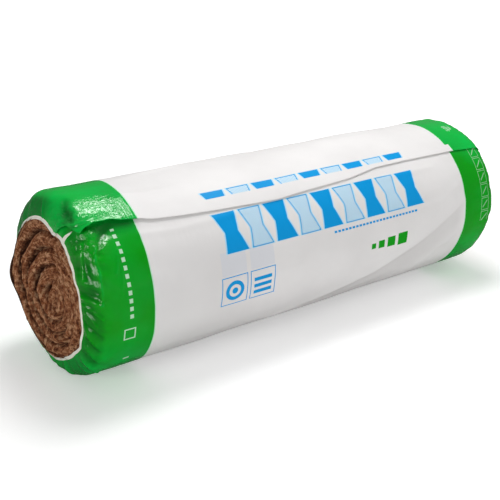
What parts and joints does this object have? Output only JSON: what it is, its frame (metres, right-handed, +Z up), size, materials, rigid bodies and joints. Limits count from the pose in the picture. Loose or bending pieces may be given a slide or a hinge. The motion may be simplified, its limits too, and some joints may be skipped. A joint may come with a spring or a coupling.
{
  "type": "mineral wool insulation roll",
  "caption": "Roll of brown mineral wool insulation in a white and green printed film sleeve, with the rolled turns showing at both open ends.",
  "frame": {"origin": "on the floor under the middle of the lying roll", "axes": "+X along the roll, -Y the front with the film's overlap seam, +Z up"},
  "size_m": [1.22, 0.4099, 0.4099],
  "materials": {
    "wool": "matted brown mineral fibre",
    "film": "wrinkled semi-gloss packing film, white with green ends"
  },
  "bodies": {
    "root": {"wool_roll": "wool", "film_wrap": "film"}
  },
  "joints": []
}
